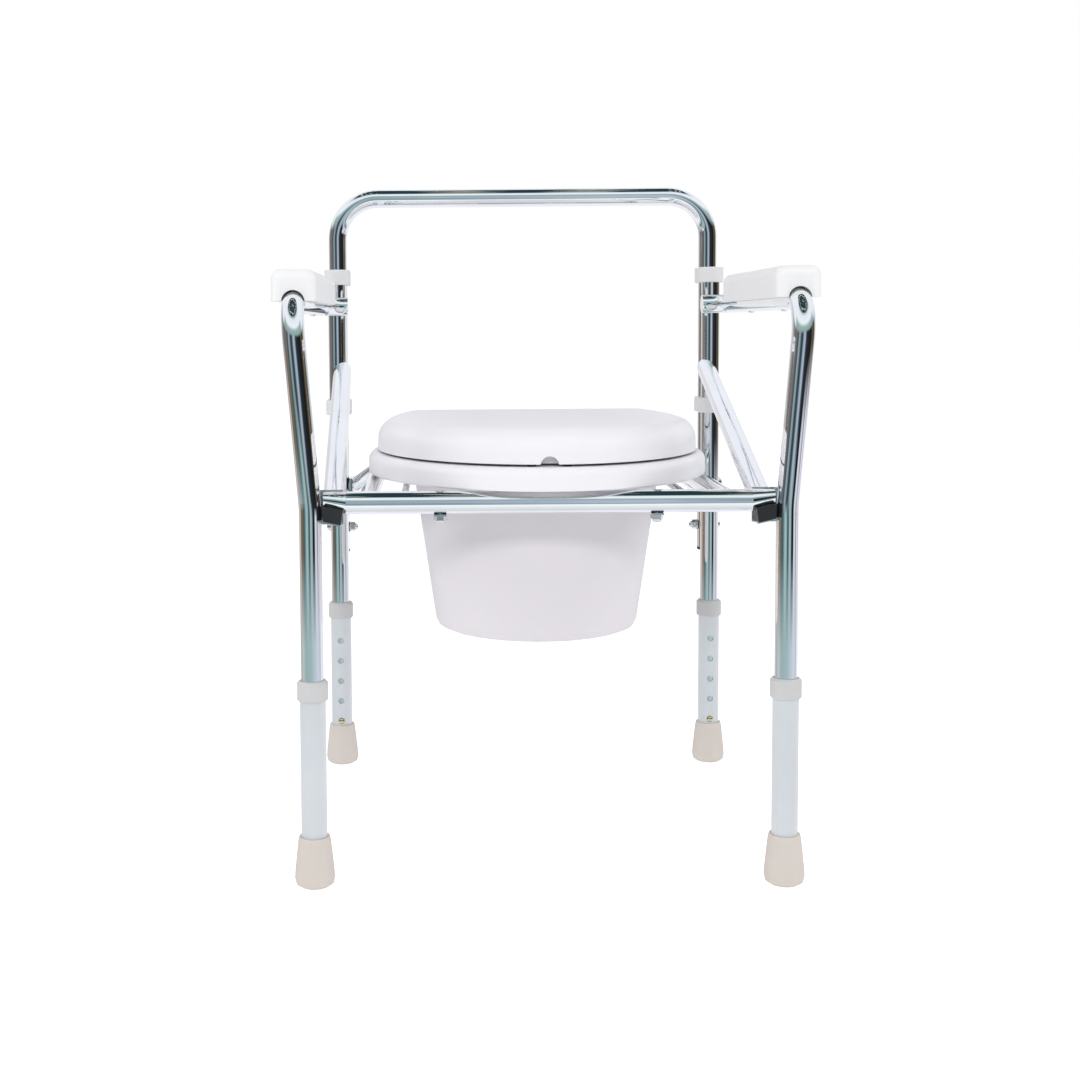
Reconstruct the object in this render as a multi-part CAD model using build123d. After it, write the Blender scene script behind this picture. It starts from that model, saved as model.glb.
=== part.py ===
"""Folding commode chair: chrome tube frame, lift-up seat frame, toilet seat, bucket, telescopic legs.

The chair faces -Y, and +X is on the right of somebody who looks at its front. +Z is up.
All sizes are in millimetres. The origin is on the floor, under the middle of the bounding box.
"""

from build123d import *
from math import atan2, cos, sin
import os

os.makedirs("parts", exist_ok=True)

# ---------------------------------------------------------------- driving dimensions

tube_r = 11.1  # 22.2 mm chromed steel tube
tube_bore_r = 9.9
rail_r = 9.5  # 19 mm seat rail
rail_bore_r = 8.3
gap = 0.3  # running gap between pieces that move past each other
touch = 0.1  # gap between pieces that are fixed to each other

leg_x = 230.0  # leg centre from the middle of the chair
arm_x = 246.5  # armrest tube centre from the middle of the chair
leg_pitch_y = 420.0  # front leg to rear leg
back_offset_y = 24.0  # rear leg to back frame tube
clip_r = 15.3
foot_r = 19.7

ring_overhang = 26.0  # from the front legs' axes to the seat ring's front edge
front_y = -(leg_pitch_y + back_offset_y + clip_r - ring_overhang) / 2
rear_y = front_y + leg_pitch_y
back_y = rear_y + back_offset_y

leg_bottom_z = 38.0
leg_bend_z = 372.0  # the front leg starts to slant outward here
arm_z = 571.0
arm_front_bend_r = 40.0
arm_rear_bend_r = 30.0
arm_cross_y = rear_y - 2 * tube_r - 0.1  # the arm tube turns inward against the rear leg

rear_leg_top_z = 612.0
back_bottom_z = 267.0
back_top_z = 704.8
back_bend_r = 50.0
upper_clip_z = 607.0
middle_clip_z = 447.0
clip_height = 18.6

extension_r = 12.7
extension_bore_r = 11.4
extension_bottom_z = 7.0
extension_top_z = 201.0
collar_r = 15.2
collar_bottom_z = 184.0
collar_top_z = 204.0
foot_top_z = 49.0
hole_pitch = 25.4
hole_count = 5
button_z = 55.0
button_r = 3.4
button_hole_r = 3.8

crossbar_z = 377.0
crossbar_half = 217.0
crossbar_taper_x = 195.0  # the crossbar's ends are pressed narrower from here on
crossbar_end_r = 7.0
crossbar_end_z = 380.2
rail_x = 176.0
rail_z = 377.0
pivot_z = 348.0
strap_y = front_y + 386.0
strap_z = 386.7
strap_t = 2.3
hinge_y = front_y + 385.0
hinge_z = 403.0
hinge_x = 70.0

ring_half = 182.0
ring_front = front_y - ring_overhang
seat_mid_y = front_y + 204.0  # where the seat is widest
ring_rear = front_y + 371.5
ring_bottom_z = 388.9
ring_top_z = 412.0
ring_hole_y = front_y + 175.0
lid_half = 172.0
lid_front = front_y - 19.0
lid_rear = front_y + 366.0
lid_bottom_z = 414.4
lid_top_z = 447.5
lid_bumper_x = 17.0
shell_t = 3.2

bucket_y = front_y + 200.0
bucket_rim_z = 384.0
bucket_rim_r = 150.0
bucket_top_r = 132.5
bucket_bottom_r = 109.5
bucket_bottom_z = 218.8
bucket_wall = 2.6
holder_rod_r = 4.0
holder_x = 140.5
holder_z = 376.7
holder_bolt_x = 104.5

pad_width = 44.5
pad_front_y = front_y + 25.0
pad_rear_y = front_y + 316.0
pad_bottom_z = 572.0
pad_top_z = 603.0

parts = {}

# ---------------------------------------------------------------- helpers


def bar(start, end, radius):
    """Solid round bar between two points."""
    axis = Vector(*end) - Vector(*start)
    plane = Plane(origin=start, z_dir=axis)
    return plane * Cylinder(radius, axis.length, align=(Align.CENTER, Align.CENTER, Align.MIN))


def bent_bar(points, radii, radius):
    """Solid round bar along straight runs joined by tangent arcs."""
    path = FilletPolyline(*points, radius=radii)
    section = Plane(origin=path @ 0, z_dir=path % 0) * Circle(radius)
    return sweep(section, path=path)


def bent_tube(points, radii, outer, inner):
    """Hollow tube along straight runs joined by tangent arcs."""
    path = FilletPolyline(*points, radius=radii)
    ring = Circle(outer) - Circle(inner)
    section = Plane(origin=path @ 0, z_dir=path % 0) * ring
    return sweep(section, path=path)


def straight_tube(start, end, outer, inner):
    """Hollow straight tube between two points."""
    return bar(start, end, outer) - bar(start, end, inner)


def block(low, high):
    """Box between its lowest and its highest corner."""
    size = [high[i] - low[i] for i in range(3)]
    middle = [(high[i] + low[i]) / 2 for i in range(3)]
    return Pos(*middle) * Box(*size)


def span(side, near, far):
    """The lower and upper x of a piece that reaches from near to far on one side of the chair."""
    return sorted([side * near, side * far])


def side_block(side, x_span, y_span, z_span):
    """Box on the left or the right side, with x_span counted from the middle of the chair."""
    x = span(side, *x_span)
    return block((x[0], y_span[0], z_span[0]), (x[1], y_span[1], z_span[1]))


def xz_prism(side, points, y_span):
    """Prism along Y on one side of the chair, from (distance from the middle, z) corner points."""
    corners = [(side * x, z) for x, z in points]
    face = make_face(Polyline(*corners, close=True))
    depth = y_span[1] - y_span[0]
    return Pos(0, y_span[1], 0) * Rot(90, 0, 0) * extrude(face, depth, dir=(0, 0, 1))


def crossbar_end(side, extra):
    """Narrowed end of the seat crossbar, grown by extra."""
    start = Plane(origin=(side * crossbar_taper_x, front_y, crossbar_z), z_dir=(side, 0, 0))
    end = Plane(origin=(side * crossbar_half, front_y, crossbar_end_z), z_dir=(side, 0, 0))
    return loft([start * Circle(tube_r + extra), end * Circle(crossbar_end_r + extra)])


def x_bar(x_from, x_to, y, z, radius):
    """Round bar along X."""
    return bar((min(x_from, x_to), y, z), (max(x_from, x_to), y, z), radius)


def hex_head(plane, across, height):
    """Hexagon prism that stands on a plane."""
    return extrude(plane * RegularPolygon(across / 2, 6, major_radius=False), height)


def acorn_nut(point, direction, across, height, bore):
    """Hexagon nut with a domed cap and a blind bore, which starts at point and grows along direction."""
    plane = Plane(origin=point, z_dir=direction)
    nut = hex_head(plane, across, height * 0.55)
    dome = plane.offset(height * 0.55) * Sphere(across * 0.45)
    keep = plane * Cylinder(across, height, align=(Align.CENTER, Align.CENTER, Align.MIN))
    blind = plane * Cylinder(bore, height * 0.6, align=(Align.CENTER, Align.CENTER, Align.MIN))
    return nut + (dome & keep) - blind


def round_head(point, direction, radius, height):
    """Low domed bolt head, which starts at point and grows along direction."""
    plane = Plane(origin=point, z_dir=direction)
    sphere_r = (radius**2 + height**2) / (2 * height)
    dome = plane.offset(height - sphere_r) * Sphere(sphere_r)
    keep = plane * Cylinder(radius, height, align=(Align.CENTER, Align.CENTER, Align.MIN))
    return dome & keep


def seat_outline(half, front, rear, rear_half, corner):
    """Toilet seat outline: half an ellipse in front, two long arcs at the sides, a straight rear edge."""
    side_run = rear - seat_mid_y
    taper = half - rear_half
    side_r = (side_run**2 + taper**2) / (2 * taper)
    turn = atan2(side_run, side_r - taper)
    mid_x = half - side_r + side_r * cos(turn / 2)
    mid_y = seat_mid_y + side_r * sin(turn / 2)
    front_arc = EllipticalCenterArc((0, seat_mid_y), half, seat_mid_y - front, 180, arc_size=180)
    right = ThreePointArc((half, seat_mid_y), (mid_x, mid_y), (rear_half, rear))
    left = ThreePointArc((-half, seat_mid_y), (-mid_x, mid_y), (-rear_half, rear))
    back = Line((rear_half, rear), (-rear_half, rear))
    face = make_face([front_arc, right, back, left])
    rear_corners = [v for v in face.vertices() if v.Y > rear - 1]
    return fillet(rear_corners, corner)


# ---------------------------------------------------------------- back frame

back_points = [
    (-leg_x, back_y, back_bottom_z),
    (-leg_x, back_y, back_top_z),
    (leg_x, back_y, back_top_z),
    (leg_x, back_y, back_bottom_z),
]
back_frame = bent_tube(back_points, back_bend_r, tube_r, tube_bore_r)
link_bolt_z = 295.0
bolt_r = 3.0
pivot_bolt_r = 4.0
for side in (-1, 1):
    back_frame -= x_bar(side * 210, side * 250, back_y, link_bolt_z, bolt_r + touch)
    back_frame -= x_bar(side * 210, side * 250, back_y, pivot_z, pivot_bolt_r + touch)
parts["back_frame_tube"] = back_frame

plugs = []
for side in (-1, 1):
    x = side * leg_x
    cap = Pos(x, back_y, back_bottom_z - 2.0) * Cylinder(tube_r, 4.0 - 2 * touch)
    cap = fillet(cap.edges().group_by(Axis.Z)[0], 1.6)
    stem_low = (x, back_y, back_bottom_z - 0.5)
    stem_high = (x, back_y, back_bottom_z + 14.0)
    plugs.append(cap + bar(stem_low, stem_high, tube_bore_r - touch))
parts["back_tube_end_plugs"] = Compound(plugs)

# ---------------------------------------------------------------- side frames

# front leg and armrest tube, bent from one length; the right one mirrors the left one
leg_points = [
    (-leg_x, front_y, leg_bottom_z),
    (-leg_x, front_y, leg_bend_z),
    (-arm_x, front_y, arm_z),
    (-arm_x, arm_cross_y, arm_z),
    (-216.0, arm_cross_y, arm_z),
]
front_leg = bent_tube(leg_points, [150.0, arm_front_bend_r, arm_rear_bend_r], tube_r, tube_bore_r)
front_leg += x_bar(-216.6, -215.4, arm_cross_y, arm_z, tube_r)
front_leg -= bar((-leg_x, front_y, button_z), (-leg_x, front_y + 20, button_z), button_hole_r)
screw_y = (pad_front_y + 70, pad_rear_y - 60)
for y in screw_y:
    front_leg -= bar((-arm_x, y, arm_z - 15), (-arm_x, y, arm_z + 15), 2.3)
parts["front_leg_arm_tube_left"] = front_leg
parts["front_leg_arm_tube_right"] = mirror(front_leg, about=Plane.YZ)

for side, name in ((-1, "left"), (1, "right")):
    x = side * leg_x
    ax = side * arm_x
    rear_leg = straight_tube((x, rear_y, leg_bottom_z), (x, rear_y, rear_leg_top_z), tube_r, tube_bore_r)
    rear_leg -= bar((x, rear_y, button_z), (x, rear_y - 20, button_z), button_hole_r)
    parts[f"rear_leg_tube_{name}"] = rear_leg

    # diagonal brace, closed against the saddle bracket in front and coped round the rear leg
    brace_front = (side * 208.0, front_y + 10.0, 373.5)
    brace_rear = (side * 224.5, rear_y + 4.0, 495.0)
    brace = straight_tube(brace_front, brace_rear, tube_r, tube_bore_r)
    brace -= block((-300, front_y - 40, 300), (300, front_y + 18.2, 450))
    brace -= bar((x, rear_y, 400), (x, rear_y, 600), tube_r + touch)
    brace &= block((-300, front_y, 300), (300, rear_y - 4.0, 600))
    parts[f"brace_tube_{name}"] = brace

    # bracket behind and under the crossbar's end, shaped round the front leg
    shelf_face = [(201, 356.6), (224, 361.6), (224, 359.1), (201, 354.1)]
    shelf = xz_prism(side, shelf_face, (front_y - 3, front_y + 18))
    wall = side_block(side, (199.0, 224.0), (front_y + 15.2, front_y + 18.0), (354.1, 388.0))
    bracket = shelf + wall
    bracket -= bar((x, front_y, 300), (x, front_y, 450), tube_r + touch)
    parts[f"saddle_bracket_{name}"] = bracket

    # tilted rubber block that the crossbar's narrowed end rests on
    cradle_face = [(198, 371), (217, 376), (217, 360.2), (200, 356.5)]
    cradle = xz_prism(side, cradle_face, (front_y - 11, front_y + 15))
    cradle -= crossbar_end(side, gap)
    cradle -= x_bar(side * 190, side * (crossbar_taper_x + 0.1), front_y, crossbar_z, tube_r + gap)
    cradle -= x_bar(side * (crossbar_half - 0.1), side * 230, front_y, crossbar_end_z, crossbar_end_r + gap)
    cradle -= block((-300, front_y - 40, crossbar_z - 3), (300, front_y + 40, 400))
    cradle -= bar((x, front_y, 300), (x, front_y, 450), tube_r + touch)
    parts[f"crossbar_saddle_{name}"] = cradle

    # double clips that hold each rear leg to the back frame tube
    for level, z in (("upper", upper_clip_z), ("middle", middle_clip_z)):
        lobes = Pos(x, rear_y, z) * Cylinder(clip_r, clip_height)
        lobes += Pos(x, back_y, z) * Cylinder(clip_r, clip_height)
        waist = Pos(x, (rear_y + back_y) / 2, z) * Box(2 * clip_r - 5, back_offset_y, clip_height)
        clip = lobes + waist
        clip = fillet(clip.edges().group_by(Axis.Z)[0] + clip.edges().group_by(Axis.Z)[-1], 1.2)
        clip -= bar((x, back_y, z - 20), (x, back_y, z + 20), tube_r + touch)
        reach = rear_leg_top_z + 0.2 if level == "upper" else z + 20
        clip -= bar((x, rear_y, z - 20), (x, rear_y, reach), tube_r + touch)
        parts[f"{level}_clip_{name}"] = clip

    # armrest pad with a channel that drops over the arm tube
    half = pad_width / 2
    pad = block((ax - half, pad_front_y, pad_bottom_z), (ax + half, pad_rear_y, pad_top_z))
    pad = fillet(pad.edges().filter_by(Axis.Z), 12.0)
    pad = fillet(pad.edges().group_by(Axis.Z)[-1], 9.5)
    pad -= bar((ax, pad_front_y - 5, arm_z), (ax, pad_rear_y + 5, arm_z), tube_r + 0.4)
    for y in screw_y:
        pad -= bar((ax, y, arm_z), (ax, y, arm_z + 20), 2.3)
    parts[f"armrest_pad_{name}"] = pad

screws = []
for side in (-1, 1):
    for y in screw_y:
        low = (side * arm_x, y, arm_z - tube_r - touch)
        shank = bar(low, (side * arm_x, y, arm_z + 19.0), 2.2)
        screws.append(shank + round_head(low, (0, 0, -1), 4.2, 1.3))
parts["armrest_screws"] = Compound(screws)

# ---------------------------------------------------------------- frame fasteners

inner_face = leg_x - tube_r
outer_face = leg_x + tube_r
washer_t = 1.2
eye_t = 3.6
eye_out = inner_face - washer_t - 2 * gap  # outer face of the seat rail's flattened eye


def cross_bolt(side, z, radius, nut_face):
    """Bolt along X through the back frame tube, its two washers and its acorn nut on the inner side."""
    head_x = side * (outer_face + washer_t + 2 * touch)
    shank = x_bar(side * (nut_face - 4.0), head_x, back_y, z, radius)
    head = round_head((head_x, back_y, z), (side, 0, 0), 2 * radius, 1.9 * radius)
    height = 3 * radius
    nut_point = (side * nut_face, back_y, z)
    nut = acorn_nut(nut_point, (-side, 0, 0), 3.4 * radius, height, radius + touch)
    rings = []
    for start in (outer_face + touch, inner_face - touch - washer_t):
        disc = x_bar(side * start, side * (start + washer_t), back_y, z, 2.2 * radius)
        rings.append(disc - x_bar(side * 190, side * 260, back_y, z, radius + touch))
    return shank + head, nut, rings


bolts = []
washers = []
nuts = []
for side in (-1, 1):
    for z, radius, face in (
        (link_bolt_z, bolt_r, inner_face - washer_t - 2 * touch),
        (pivot_z, pivot_bolt_r, eye_out - eye_t - gap),
    ):
        bolt, nut, rings = cross_bolt(side, z, radius, face)
        bolts.append(bolt)
        nuts.append(nut)
        washers += rings
parts["frame_bolts"] = Compound(bolts)
parts["frame_washers"] = Compound(washers)
parts["frame_acorn_nuts"] = Compound(nuts)

# ---------------------------------------------------------------- telescopic legs

corners = (
    ("front_left", -1, front_y, 1),
    ("front_right", 1, front_y, 1),
    ("rear_left", -1, rear_y, -1),
    ("rear_right", 1, rear_y, -1),
)
for name, side, y, face in corners:
    x = side * leg_x
    # outer tube with a row of height-setting holes on its face towards the middle of the chair
    bottom = (x, y, extension_bottom_z)
    top = (x, y, extension_top_z)
    extension = straight_tube(bottom, top, extension_r, extension_bore_r)
    for i in range(hole_count):
        z = button_z + i * hole_pitch
        extension -= bar((x, y, z), (x, y + face * 20, z), button_hole_r)
    parts[f"leg_extension_{name}"] = extension

    # plastic collar over the outer tube's top, with a lip that guides the inner tube
    collar = bar((x, y, collar_bottom_z), (x, y, collar_top_z), collar_r)
    collar = chamfer(collar.edges().group_by(Axis.Z)[-1], 2.4)
    collar = chamfer(collar.edges().group_by(Axis.Z)[0], 1.2)
    collar -= bar((x, y, collar_bottom_z - 1), (x, y, extension_top_z + touch), extension_r + touch)
    collar -= bar((x, y, collar_bottom_z - 1), (x, y, collar_top_z + 1), extension_bore_r)
    parts[f"leg_collar_{name}"] = collar

    # flared rubber tip: its wall profile is turned about the leg's axis
    profile = Polyline(
        (0, 0),
        (foot_r - 5.0, 0),
        (foot_r - 1.2, 2.6),
        (foot_r, 8.0),
        (foot_r - 0.5, 16.0),
        (foot_r - 3.6, foot_top_z - 4.0),
        (foot_r - 4.6, foot_top_z),
        (extension_r + 0.2, foot_top_z),
        (extension_r + 0.2, extension_bottom_z - touch),
        (0, extension_bottom_z - touch),
        (0, 0),
    )
    tip = revolve(Plane.XZ * make_face(profile), Axis.Z)
    parts[f"foot_tip_{name}"] = Pos(x, y, 0) * tip

    # snap button on a leaf spring inside the inner tube
    outer_end = y + face * (extension_r + 2.2)
    pin = bar((x, y + face * 6.0, button_z), (x, outer_end - face * 1.6, button_z), button_r)
    cap = round_head((x, outer_end - face * 1.6, button_z), (0, face, 0), button_r, 1.6)
    flange = bar((x, y + face * 6.0, button_z), (x, y + face * 8.0, button_z), button_r + 1.6)
    parts[f"snap_button_{name}"] = pin + cap + flange

    leaf_x = (leg_x - 4.0, leg_x + 4.0)
    leaf_high = button_z + 34.0
    leaf_z = (button_z - 9.0, leaf_high)
    near = side_block(side, leaf_x, sorted([y + face * 4.8, y + face * 5.8]), leaf_z)
    far = side_block(side, leaf_x, sorted([y - face * 6.6, y - face * 7.6]), leaf_z)
    bend_y = y - face * 0.9
    bow = Pos(x, bend_y, leaf_high) * Rot(0, 90, 0) * (Cylinder(6.7, 8) - Cylinder(5.7, 8))
    bow &= block((x - 6, y - 12, leaf_high), (x + 6, y + 12, leaf_high + 12))
    parts[f"snap_spring_{name}"] = near + far + bow

# ---------------------------------------------------------------- seat frame

holder_head_z = crossbar_z + tube_r - 2.6
holder_head_r = 5.2
bar_ends = [(x, front_y, crossbar_z) for x in (-crossbar_taper_x, crossbar_taper_x)]
crossbar = straight_tube(bar_ends[0], bar_ends[1], tube_r, tube_bore_r)
for side in (-1, 1):
    crossbar += crossbar_end(side, 0)
    bolt_x = side * holder_bolt_x
    crossbar -= bar((bolt_x, front_y, crossbar_z - 20), (bolt_x, front_y, crossbar_z + 20), bolt_r + touch)
    recess = bar((bolt_x, front_y, holder_head_z), (bolt_x, front_y, 400), holder_head_r + touch)
    crossbar -= recess
parts["seat_crossbar"] = crossbar

for side, name in ((-1, "left"), (1, "right")):
    rail_points = [
        (side * rail_x, front_y + 6.0, rail_z),
        (side * rail_x, back_y - 66.0, rail_z),
        (side * (eye_out - rail_r - 1.0), back_y - 22.0, pivot_z + 4.0),
    ]
    rail = bent_tube(rail_points, 35.0, rail_r, rail_bore_r)
    rail -= x_bar(-250, 250, front_y, crossbar_z, tube_r + 0.02)
    eye = x_bar(side * (eye_out - eye_t), side * eye_out, back_y, pivot_z, 11.0)
    eye_x = (eye_out - eye_t, eye_out)
    neck = side_block(side, eye_x, (back_y - 32.0, back_y), (pivot_z - 5.0, pivot_z + 11.0))
    rail = rail + eye + neck
    rail -= x_bar(side * 195, side * 240, back_y, pivot_z, pivot_bolt_r + 0.1)
    parts[f"seat_rail_{name}"] = rail

strap = block((-rail_x - 7, strap_y - 14, strap_z), (rail_x + 7, strap_y + 14, strap_z + strap_t))
strap = fillet(strap.edges().filter_by(Axis.Z), 6.0)
parts["seat_hinge_strap"] = strap

rod_rear_y = front_y + 352.0
rod_front_y = front_y + 21.0
rod_points = [
    (-rail_x + rail_r + touch, rod_rear_y, holder_z),
    (-holder_x, rod_rear_y, holder_z),
    (-holder_x, rod_front_y, holder_z),
    (holder_x, rod_front_y, holder_z),
    (holder_x, rod_rear_y, holder_z),
    (rail_x - rail_r - touch, rod_rear_y, holder_z),
]
parts["bucket_holder_rod"] = bent_bar(rod_points, 16.0, holder_rod_r)

tabs = []
holder_bolts = []
holder_nuts = []
tab_top_z = crossbar_z - tube_r - touch
tab_t = 1.7
for side in (-1, 1):
    x = side * holder_bolt_x
    plate = block((x - 6, front_y - 7, tab_top_z - tab_t), (x + 6, front_y + 16.6, tab_top_z))
    leg = block((x - 6, front_y + 14.4, tab_top_z - tab_t), (x + 6, front_y + 16.6, holder_z + 4))
    tab = plate + leg
    tab -= bar((x, front_y, 350), (x, front_y, 370), bolt_r + touch)
    tabs.append(tab)
    nut_z = tab_top_z - tab_t - touch
    shank = bar((x, front_y, nut_z - 4.0), (x, front_y, holder_head_z + 0.5), bolt_r)
    head = bar((x, front_y, holder_head_z + touch), (x, front_y, crossbar_z + tube_r - 0.2), holder_head_r)
    holder_bolts.append(shank + head)
    holder_nuts.append(acorn_nut((x, front_y, nut_z), (0, 0, -1), 11.0, 7.2, bolt_r + touch))
parts["holder_tabs"] = Compound(tabs)
parts["holder_bolts"] = Compound(holder_bolts)
parts["holder_acorn_nuts"] = Compound(holder_nuts)

posts = []
pins = []
for side in (-1, 1):
    x = side * hinge_x
    barrel = x_bar(x - 8, x + 8, hinge_y, hinge_z, 8.0)
    stand = block((x - 8, hinge_y - 8, strap_z + strap_t + touch), (x + 8, hinge_y + 8, hinge_z))
    post = barrel + stand
    posts.append(post - x_bar(x - 20, x + 20, hinge_y, hinge_z, 3.6))
    pins.append(x_bar(x - 22.5, x + 22.5, hinge_y, hinge_z, 3.5))
parts["seat_hinge_posts"] = Compound(posts)
parts["seat_hinge_pins"] = Compound(pins)

# ---------------------------------------------------------------- toilet seat ring

outline = seat_outline(ring_half, ring_front, ring_rear, 152.0, 34.0)
ring = extrude(Pos(0, 0, ring_bottom_z) * outline, ring_top_z - ring_bottom_z)
opening = Pos(0, ring_hole_y, 0) * Ellipse(108, 134)
ring -= extrude(Pos(0, 0, ring_bottom_z - 5) * opening, 40)
ring = fillet(ring.edges().group_by(Axis.Z)[-1], 9.0)
ring = fillet(ring.edges().group_by(Axis.Z)[0], 2.2)
inner_outline = seat_outline(
    ring_half - shell_t, ring_front + shell_t, ring_rear - shell_t, 152.0 - shell_t, 31.0
)
inner_opening = Pos(0, ring_hole_y, 0) * Ellipse(108 + shell_t, 134 + shell_t)
hollow = extrude(Pos(0, 0, ring_bottom_z - 1) * (inner_outline - inner_opening), 12.0)
ring -= hollow
for side in (-1, 1):
    near, far = hinge_x + 8.8, hinge_x + 21.5
    knuckle = x_bar(side * near, side * far, hinge_y, hinge_z, 7.6)
    arm = side_block(side, (near, far), (ring_rear - 2, hinge_y), (hinge_z - 5.5, hinge_z + 5.5))
    ring += knuckle + arm
    ring -= x_bar(side * 40, side * 110, hinge_y, hinge_z, 3.6)
parts["toilet_seat_ring"] = ring

bumpers = []
for side in (-1, 1):
    for x, y, low in (
        (44.0, front_y + 7.0, crossbar_z + tube_r + 0.4),
        (167.0, front_y + 270.0, rail_z + rail_r + 0.4),
    ):
        bumpers.append(bar((side * x, y, low), (side * x, y, ring_bottom_z + 10.9), 6.0))
parts["seat_bumpers"] = Compound(bumpers)

# ---------------------------------------------------------------- lid

lid_outline = seat_outline(lid_half, lid_front, lid_rear, 146.0, 30.0)
lid = extrude(Pos(0, 0, lid_bottom_z) * lid_outline, lid_top_z - lid_bottom_z)
lid = fillet(lid.edges().group_by(Axis.Z)[-1], 22.0)
lid_inner = seat_outline(
    lid_half - shell_t, lid_front + shell_t, lid_rear - shell_t, 146.0 - shell_t, 27.0
)
lid_hollow = extrude(Pos(0, 0, lid_bottom_z - 1) * lid_inner, lid_top_z - lid_bottom_z + 1 - shell_t)
lid_hollow = fillet(lid_hollow.edges().group_by(Axis.Z)[-1], 20.0)
lid -= lid_hollow
grip = block((-24, lid_front + 2.0, lid_bottom_z), (24, lid_front + 17.0, lid_bottom_z + 12.0))
lid += grip
lid -= bar((0, lid_front - 5, lid_bottom_z - 1), (0, lid_front + 13, lid_bottom_z - 1), 8.8)
for side in (-1, 1):
    near, far = hinge_x - 21.5, hinge_x - 8.8
    knuckle = x_bar(side * near, side * far, hinge_y, hinge_z, 7.6)
    riser = side_block(side, (near, far), (hinge_y - 7.6, hinge_y + 7.6), (hinge_z, lid_bottom_z + 6.0))
    arm = side_block(side, (near, far), (lid_rear - 2, hinge_y), (lid_bottom_z, lid_bottom_z + 6.0))
    lid += knuckle + riser + arm
    lid -= x_bar(side * 40, side * 110, hinge_y, hinge_z, 3.6)
lid_bumpers = []
for side in (-1, 1):
    x, y = side * lid_bumper_x, lid_front + 9.5
    foot = bar((x, y, ring_top_z + touch), (x, y, lid_bottom_z), 4.6)
    stem = bar((x, y, lid_bottom_z), (x, y, lid_bottom_z + 6), 2.0)
    lid_bumpers.append(foot + stem)
    lid -= bar((x, y, lid_bottom_z - 1), (x, y, lid_bottom_z + 6.3), 2.0 + touch)
parts["lid_bumpers"] = Compound(lid_bumpers)
parts["toilet_lid"] = lid

# ---------------------------------------------------------------- bucket

outer = Polyline(
    (0, bucket_bottom_z),
    (bucket_bottom_r - 9, bucket_bottom_z),
    (bucket_bottom_r - 2.5, bucket_bottom_z + 2.8),
    (bucket_bottom_r + 0.6, bucket_bottom_z + 9),
    (bucket_top_r, bucket_rim_z - 2.6),
    (bucket_rim_r, bucket_rim_z - 2.6),
    (bucket_rim_r, bucket_rim_z),
    (bucket_top_r - bucket_wall, bucket_rim_z),
    (bucket_bottom_r + 0.6 - bucket_wall, bucket_bottom_z + 10),
    (bucket_bottom_r - 4.5, bucket_bottom_z + 5),
    (bucket_bottom_r - 10, bucket_bottom_z + bucket_wall),
    (0, bucket_bottom_z + bucket_wall),
    (0, bucket_bottom_z),
)
bucket = revolve(Plane.XZ * make_face(outer), Axis.Z)
parts["bucket"] = Pos(0, bucket_y, 0) * bucket

# ---------------------------------------------------------------- export

for name, shape in parts.items():
    shape.label = name
    export_step(shape, f"parts/{name}.step")

whole = Compound([solid for shape in parts.values() for solid in shape.solids()])
box = whole.bounding_box()
print("nodes", len(parts))
print("x", round(box.min.X, 2), round(box.max.X, 2))
print("y", round(box.min.Y, 2), round(box.max.Y, 2))
print("z", round(box.min.Z, 2), round(box.max.Z, 2))
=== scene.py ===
import bpy
import math
from mathutils import Matrix, Vector

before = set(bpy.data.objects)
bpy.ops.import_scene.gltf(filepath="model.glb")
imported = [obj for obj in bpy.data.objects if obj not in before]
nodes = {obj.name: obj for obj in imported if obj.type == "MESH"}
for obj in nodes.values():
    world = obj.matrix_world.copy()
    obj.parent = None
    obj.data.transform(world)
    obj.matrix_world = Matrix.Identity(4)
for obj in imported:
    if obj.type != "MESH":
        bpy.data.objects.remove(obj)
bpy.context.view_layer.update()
scene = bpy.context.scene

# ------------------------------------------------------------ material helpers

grain_depth = 0.0003  # metres, of moulded plastic
brush_depth = 0.0002  # metres, of brushed metal

def new_material(name):
    """An empty node material with its output and a Principled shader."""
    mat = bpy.data.materials.new(name)
    mat.use_nodes = True
    tree = mat.node_tree
    tree.nodes.clear()
    out = tree.nodes.new("ShaderNodeOutputMaterial")
    shader = tree.nodes.new("ShaderNodeBsdfPrincipled")
    tree.links.new(shader.outputs["BSDF"], out.inputs["Surface"])
    return mat, tree, shader


def noise(tree, scale, detail=3.0, stretch=(1, 1, 1)):
    """Noise texture in the object's own coordinates, stretched along its axes."""
    coords = tree.nodes.new("ShaderNodeTexCoord")
    mapping = tree.nodes.new("ShaderNodeMapping")
    mapping.inputs["Scale"].default_value = stretch
    tex = tree.nodes.new("ShaderNodeTexNoise")
    tex.inputs["Scale"].default_value = scale
    tex.inputs["Detail"].default_value = detail
    tree.links.new(coords.outputs["Object"], mapping.inputs["Vector"])
    tree.links.new(mapping.outputs["Vector"], tex.inputs["Vector"])
    return tex.outputs["Fac"]


def remap(tree, value, low, high, start=0.3, end=0.7):
    """A value that goes from low to high as the input goes from start to end."""
    node = tree.nodes.new("ShaderNodeMapRange")
    node.inputs["From Min"].default_value = start
    node.inputs["From Max"].default_value = end
    node.inputs["To Min"].default_value = low
    node.inputs["To Max"].default_value = high
    tree.links.new(value, node.inputs["Value"])
    return node.outputs["Result"]


def tint(tree, value, dark, light, start=0.3, end=0.7):
    """A colour that goes from dark to light as the input goes from start to end."""
    ramp = tree.nodes.new("ShaderNodeValToRGB")
    ramp.color_ramp.elements[0].position = start
    ramp.color_ramp.elements[0].color = (*dark, 1)
    ramp.color_ramp.elements[1].position = end
    ramp.color_ramp.elements[1].color = (*light, 1)
    tree.links.new(value, ramp.inputs["Fac"])
    return ramp.outputs["Color"]


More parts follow.
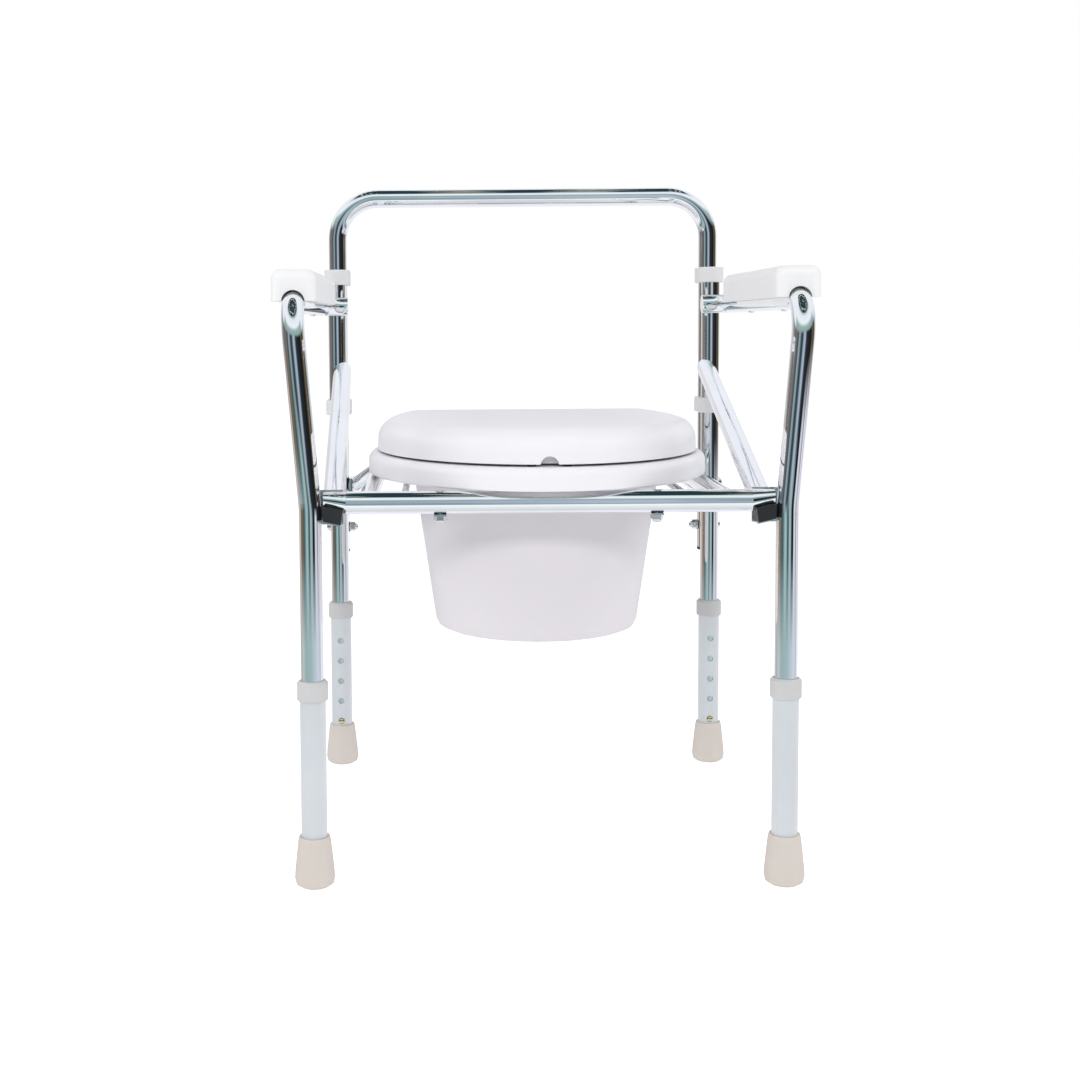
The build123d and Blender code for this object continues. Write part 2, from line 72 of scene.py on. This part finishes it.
def bump(tree, shader, height, strength, distance):
    """Bump on a shader from a height."""
    node = tree.nodes.new("ShaderNodeBump")
    node.inputs["Strength"].default_value = strength
    node.inputs["Distance"].default_value = distance
    tree.links.new(height, node.inputs["Height"])
    tree.links.new(node.outputs["Normal"], shader.inputs["Normal"])


def plastic(name, dark, light, rough, grain, grain_scale, sss=0.0):
    """Moulded plastic or rubber: faint cloudy colour, uneven gloss and a fine grain."""
    mat, tree, shader = new_material(name)
    cloud = noise(tree, 9.0, 4.0)
    tree.links.new(tint(tree, cloud, dark, light), shader.inputs["Base Color"])
    smear = noise(tree, 34.0, 5.0)
    tree.links.new(remap(tree, smear, rough[0], rough[1]), shader.inputs["Roughness"])
    fine = noise(tree, grain_scale, 2.0)
    bump(tree, shader, fine, grain, grain_depth)
    shader.inputs["Subsurface Weight"].default_value = sss
    shader.inputs["Subsurface Radius"].default_value = (0.006, 0.005, 0.005)
    shader.inputs["Subsurface Scale"].default_value = 1.0
    return mat


def metal(name, dark, light, rough, stretch=(1, 1, 1), scale=40.0, grain=0.0, metallic=1.0):
    """Bare or plated metal with faint cloudy colour and uneven polish."""
    mat, tree, shader = new_material(name)
    cloud = noise(tree, 14.0, 3.0)
    tree.links.new(tint(tree, cloud, dark, light), shader.inputs["Base Color"])
    streak = noise(tree, scale, 5.0, stretch)
    tree.links.new(remap(tree, streak, rough[0], rough[1]), shader.inputs["Roughness"])
    shader.inputs["Metallic"].default_value = metallic
    if grain:
        bump(tree, shader, streak, grain, brush_depth)
    return mat


# ------------------------------------------------------------ materials

chrome = metal("chrome_plate", (0.88, 0.90, 0.91), (0.95, 0.96, 0.97), (0.02, 0.055), scale=22.0)
zinc = metal(
    "bright_zinc", (0.66, 0.67, 0.70), (0.80, 0.81, 0.84), (0.16, 0.30), (1, 1, 6), 60.0, grain=0.05
)
nickel = metal("nickel_plate", (0.72, 0.72, 0.72), (0.86, 0.85, 0.84), (0.10, 0.20), scale=80.0)
anodised = metal(
    "satin_aluminium", (0.80, 0.825, 0.85), (0.85, 0.875, 0.90), (0.48, 0.58), (1, 1, 0.02), 420.0,
    grain=0.04, metallic=0.45,
)
brass = metal("yellow_button", (0.80, 0.66, 0.30), (0.95, 0.86, 0.55), (0.10, 0.22), scale=90.0)
spring_steel = metal(
    "spring_steel", (0.30, 0.30, 0.31), (0.42, 0.42, 0.43), (0.30, 0.42), scale=90.0
)
seat_white = plastic(
    "seat_plastic", (0.868, 0.858, 0.888), (0.882, 0.872, 0.902), (0.34, 0.40), 0.002, 1400.0, sss=0.10
)
bucket_grey = plastic(
    "bucket_plastic", (0.765, 0.730, 0.760), (0.785, 0.750, 0.780), (0.32, 0.42), 0.02, 900.0, sss=0.15
)
pad_white = plastic(
    "armrest_plastic", (0.860, 0.860, 0.862), (0.880, 0.880, 0.882), (0.40, 0.52), 0.06, 1800.0, sss=0.08
)
clip_grey = plastic(
    "clip_plastic", (0.75, 0.75, 0.76), (0.79, 0.79, 0.795), (0.38, 0.50), 0.06, 1500.0, sss=0.05
)
collar_grey = plastic(
    "collar_plastic", (0.58, 0.58, 0.58), (0.63, 0.63, 0.63), (0.38, 0.50), 0.06, 1500.0, sss=0.05
)
tip_rubber = plastic(
    "tip_rubber", (0.660, 0.605, 0.555), (0.700, 0.645, 0.595), (0.55, 0.70), 0.12, 1500.0, sss=0.05
)
black = plastic("black_plastic", (0.010, 0.010, 0.011), (0.022, 0.022, 0.023), (0.32, 0.48), 0.15, 1200.0)
bumper = plastic("bumper_rubber", (0.60, 0.60, 0.62), (0.68, 0.68, 0.70), (0.5, 0.65), 0.1, 1000.0)

# what each node is made of, by the start of its name
paint = {
    "back_frame_tube": chrome,
    "front_leg_arm_tube": chrome,
    "rear_leg_tube": chrome,
    "brace_tube": chrome,
    "seat_crossbar": chrome,
    "seat_rail": chrome,
    "bucket_holder_rod": chrome,
    "saddle_bracket": zinc,
    "holder_tabs": zinc,
    "seat_hinge_strap": zinc,
    "frame_bolts": nickel,
    "frame_washers": nickel,
    "frame_acorn_nuts": nickel,
    "holder_bolts": nickel,
    "holder_acorn_nuts": nickel,
    "armrest_screws": nickel,
    "leg_extension": anodised,
    "leg_collar": collar_grey,
    "upper_clip": clip_grey,
    "middle_clip": clip_grey,
    "foot_tip": tip_rubber,
    "snap_button": brass,
    "snap_spring": spring_steel,
    "crossbar_saddle": black,
    "back_tube_end_plugs": black,
    "armrest_pad": pad_white,
    "toilet_seat_ring": seat_white,
    "toilet_lid": seat_white,
    "seat_hinge_posts": seat_white,
    "seat_hinge_pins": seat_white,
    "seat_bumpers": bumper,
    "lid_bumpers": black,
    "bucket": bucket_grey,
}
for name in sorted(nodes):
    key = max((k for k in paint if name.startswith(k)), key=len)
    mesh = nodes[name].data
    mesh.materials.clear()
    mesh.materials.append(paint[key])

# ------------------------------------------------------------ floor, light and camera

floor_size = 40.0  # metres
floor_y = 6.0
bpy.ops.mesh.primitive_plane_add(size=floor_size, location=(0, floor_y, 0))
floor = bpy.context.object
floor.name = "floor"
mat, tree, shader = new_material("floor_white")
floor_cloud = noise(tree, 0.6, 2.0)
floor_colour = tint(tree, floor_cloud, (0.70, 0.70, 0.70), (0.72, 0.72, 0.72))
tree.links.new(floor_colour, shader.inputs["Base Color"])
shader.inputs["Roughness"].default_value = 0.85
shader.inputs["Specular IOR Level"].default_value = 0.1
shader.inputs["Emission Color"].default_value = (1, 1, 1, 1)
# the camera sees a plain white floor, and the floor throws less light than that back up
glow_on_chair, glow_to_camera = 0.34, 0.75
seen_floor = tree.nodes.new("ShaderNodeLightPath").outputs["Is Camera Ray"]
floor_glow = remap(tree, seen_floor, glow_on_chair, glow_to_camera, 0.0, 1.0)
tree.links.new(floor_glow, shader.inputs["Emission Strength"])
floor.data.materials.append(mat)
floor.visible_glossy = False


def area(name, location, target, size, power):
    """Soft rectangular lamp that points at a target and that mirrors don't show."""
    data = bpy.data.lights.new(name, "AREA")
    data.shape = "RECTANGLE"
    data.size, data.size_y = size
    data.energy = power
    lamp = bpy.data.objects.new(name, data)
    scene.collection.objects.link(lamp)
    lamp.location = location
    lamp.rotation_euler = (Vector(target) - Vector(location)).to_track_quat("-Z", "Y").to_euler()
    lamp.visible_glossy = False


# the key light stands low enough in front for the seat to shade only the top of the bucket
seat_middle = (0, 0, 0.4)
below_seat = (0, 0, 0.3)
area("key_light", (-0.3, -3.0, 1.75), seat_middle, (1.3, 0.4), 28)
area("left_light", (-3.0, -0.7, 2.2), seat_middle, (2.0, 1.6), 31)
area("right_light", (3.0, -0.7, 2.2), seat_middle, (2.0, 1.6), 34)
area("top_light", (0, 0.1, 3.2), below_seat, (2.6, 2.6), 8)


def ramp(tree, value, stops):
    """Colour ramp over a value that goes from 0 to 1, with one (position, colour) pair for each stop."""
    node = tree.nodes.new("ShaderNodeValToRGB")
    elements = node.color_ramp.elements
    while len(elements) < len(stops):
        elements.new(0.5)
    for element, (position, colour) in zip(elements, stops):
        element.position = position
        element.color = (*colour, 1)
    tree.links.new(value, node.inputs["Fac"])
    return node.outputs["Color"]


def math_node(tree, operation, first, second=0.0):
    """One math step on a value."""
    node = tree.nodes.new("ShaderNodeMath")
    node.operation = operation
    for socket, value in zip(node.inputs, (first, second)):
        if isinstance(value, (int, float)):
            socket.default_value = value
        else:
            tree.links.new(value, socket)
    return node.outputs["Value"]


def mix_colour(tree, factor, first, second):
    """Blend of two colours."""
    node = tree.nodes.new("ShaderNodeMix")
    node.data_type = "RGBA"
    tree.links.new(factor, node.inputs["Factor"])
    for socket, value in ((node.inputs["A"], first), (node.inputs["B"], second)):
        if isinstance(value, tuple):
            socket.default_value = (*value, 1)
        else:
            tree.links.new(value, socket)
    return node.outputs["Result"]


def turn(degrees):
    """Ramp position of a compass angle, counted from the camera's side towards +X."""
    return (degrees + 180) / 360


def rise(degrees):
    """Ramp position of an angle above the horizon."""
    return (math.sin(math.radians(degrees)) + 1) / 2


# the room that the chrome mirrors: light walls with dark flags, seen only in reflections
around = (
    (turn(-180), (0.90, 0.90, 0.93)),
    (turn(-140), (0.62, 0.62, 0.66)),
    (turn(-128), (0.30, 0.31, 0.33)),
    (turn(-118), (0.80, 0.79, 0.82)),
    (turn(-106), (0.34, 0.20, 0.10)),
    (turn(-92), (0.24, 0.11, 0.04)),
    (turn(-78), (0.12, 0.16, 0.14)),
    (turn(-62), (0.05, 0.09, 0.10)),
    (turn(-46), (0.16, 0.26, 0.28)),
    (turn(-34), (0.42, 0.56, 0.58)),
    (turn(-20), (0.30, 0.44, 0.42)),
    (turn(-12), (0.03, 0.09, 0.09)),
    (turn(0), (0.09, 0.17, 0.17)),
    (turn(6), (0.42, 0.55, 0.58)),
    (turn(22), (0.30, 0.42, 0.44)),
    (turn(28), (0.008, 0.012, 0.016)),
    (turn(46), (0.012, 0.014, 0.022)),
    (turn(54), (0.80, 0.82, 0.92)),
    (turn(72), (0.50, 0.52, 0.60)),
    (turn(80), (0.18, 0.12, 0.07)),
    (turn(88), (0.90, 0.92, 1.00)),
    (turn(106), (0.50, 0.52, 0.58)),
    (turn(122), (1.00, 1.00, 1.05)),
    (turn(180), (0.90, 0.90, 0.93)),
)
high_walls = (
    (turn(-180), (0.90, 0.90, 0.92)),
    (turn(-150), (0.66, 0.66, 0.68)),
    (turn(-122), (0.28, 0.28, 0.29)),
    (turn(-100), (0.20, 0.13, 0.08)),
    (turn(-80), (0.16, 0.18, 0.20)),
    (turn(-60), (0.05, 0.07, 0.08)),
    (turn(-48), (0.36, 0.42, 0.45)),
    (turn(-38), (0.20, 0.26, 0.28)),
    (turn(-30), (0.04, 0.07, 0.08)),
    (turn(-15), (0.03, 0.06, 0.07)),
    (turn(-6), (0.30, 0.38, 0.44)),
    (turn(8), (0.48, 0.52, 0.66)),
    (turn(16), (0.10, 0.13, 0.16)),
    (turn(24), (0.02, 0.03, 0.04)),
    (turn(68), (0.01, 0.01, 0.01)),
    (turn(84), (0.14, 0.10, 0.05)),
    (turn(104), (0.06, 0.04, 0.02)),
    (turn(120), (0.45, 0.48, 0.50)),
    (turn(136), (0.80, 0.86, 0.90)),
    (turn(180), (0.90, 0.90, 0.92)),
)
low_walls = (
    (turn(-180), (0.90, 0.90, 0.93)),
    (turn(-125), (0.42, 0.44, 0.46)),
    (turn(-95), (0.55, 0.58, 0.58)),
    (turn(-60), (0.34, 0.46, 0.46)),
    (turn(-5), (0.36, 0.50, 0.52)),
    (turn(45), (0.56, 0.64, 0.70)),
    (turn(80), (0.66, 0.70, 0.80)),
    (turn(92), (0.40, 0.38, 0.46)),
    (turn(104), (0.84, 0.86, 0.96)),
    (turn(180), (0.90, 0.90, 0.93)),
)
up_and_down = (
    (rise(-90), (0.72, 0.74, 0.76)),
    (rise(-50), (0.84, 0.88, 0.90)),
    (rise(-24), (1.00, 1.06, 1.10)),
    (rise(-19), (0.04, 0.08, 0.08)),
    (rise(-9), (0.05, 0.11, 0.10)),
    (rise(-2), (0.20, 0.34, 0.30)),
    (rise(12), (0.24, 0.34, 0.33)),
    (rise(28), (0.36, 0.48, 0.48)),
    (rise(36), (0.90, 0.95, 1.00)),
    (rise(52), (0.82, 0.88, 0.92)),
    (rise(60), (0.34, 0.44, 0.46)),
    (rise(90), (0.30, 0.40, 0.42)),
)

world = bpy.data.worlds.new("studio")
world.use_nodes = True
scene.world = world
wt = world.node_tree
wt.nodes.clear()
coords = wt.nodes.new("ShaderNodeTexCoord")
split = wt.nodes.new("ShaderNodeSeparateXYZ")
wt.links.new(coords.outputs["Generated"], split.inputs["Vector"])
dx, dy, dz = split.outputs["X"], split.outputs["Y"], split.outputs["Z"]

# compass angle and height of the direction, each from 0 to 1
to_camera_side = math_node(wt, "MULTIPLY", dy, -1.0)
compass = math_node(wt, "ARCTAN2", dx, to_camera_side)
compass = math_node(wt, "MULTIPLY_ADD", compass, 0.5 / math.pi)
compass.node.inputs[2].default_value = 0.5
height = math_node(wt, "MULTIPLY_ADD", dz, 0.5)
height.node.inputs[2].default_value = 0.5

# walls, which change below and above the horizon
is_low = remap(wt, dz, 1.0, 0.0, -0.21, -0.15)
is_high = remap(wt, dz, 0.0, 1.0, -0.125, -0.075)
walls = mix_colour(wt, is_low, ramp(wt, compass, around), ramp(wt, compass, low_walls))
walls = mix_colour(wt, is_high, walls, ramp(wt, compass, high_walls))

# floor and upper room, pale behind the chair
is_behind = remap(wt, dy, 0.0, 1.0, 0.05, 0.25)
vertical = mix_colour(wt, is_behind, ramp(wt, height, up_and_down), (0.90, 0.91, 0.98))
is_steep = remap(wt, math_node(wt, "ABSOLUTE", dz), 0.0, 1.0, 0.24, 0.34)
room = mix_colour(wt, is_steep, walls, vertical)

# a dark ceiling with small round lamps
cells = wt.nodes.new("ShaderNodeTexVoronoi")
cells.inputs["Scale"].default_value = 11.0
cells.inputs["Randomness"].default_value = 0.35
wt.links.new(coords.outputs["Generated"], cells.inputs["Vector"])
is_lamp = remap(wt, cells.outputs["Distance"], 1.0, 0.0, 0.24, 0.30)
ceiling = mix_colour(wt, is_lamp, (0.02, 0.045, 0.05), (1.2, 1.2, 1.1))
is_ceiling = remap(wt, dz, 0.0, 1.0, 0.85, 0.88)
room = mix_colour(wt, is_ceiling, room, ceiling)

# mirrors see the room, matt surfaces get even soft light, and the camera sees white
soft_light = (0.49, 0.49, 0.50)
path = wt.nodes.new("ShaderNodeLightPath")
lit = mix_colour(wt, path.outputs["Is Glossy Ray"], soft_light, room)
seen = mix_colour(wt, path.outputs["Is Camera Ray"], lit, (1.0, 1.0, 1.0))
background = wt.nodes.new("ShaderNodeBackground")
world_out = wt.nodes.new("ShaderNodeOutputWorld")
wt.links.new(seen, background.inputs["Color"])
wt.links.new(background.outputs["Background"], world_out.inputs["Surface"])

camera_data = bpy.data.cameras.new("camera")
camera_data.sensor_width = 36.0
camera_data.lens = 50.09
camera_data.shift_x = 0.1016
camera_data.shift_y = -0.0955
camera = bpy.data.objects.new("camera", camera_data)
scene.collection.objects.link(camera)
camera.location = (-0.1035, -1.65715, 0.5458)
yaw, pitch, roll = math.radians(0.40), math.radians(-4.19), math.radians(-0.44)
turned = Matrix.Rotation(yaw, 3, "Z")
level = Matrix.Rotation(math.pi / 2 + pitch, 3, "X")
rolled = Matrix.Rotation(roll, 3, "Z")
camera.rotation_euler = (turned @ level @ rolled).to_euler()
scene.camera = camera
scene.view_settings.view_transform = "Standard"
scene.view_settings.look = "None"
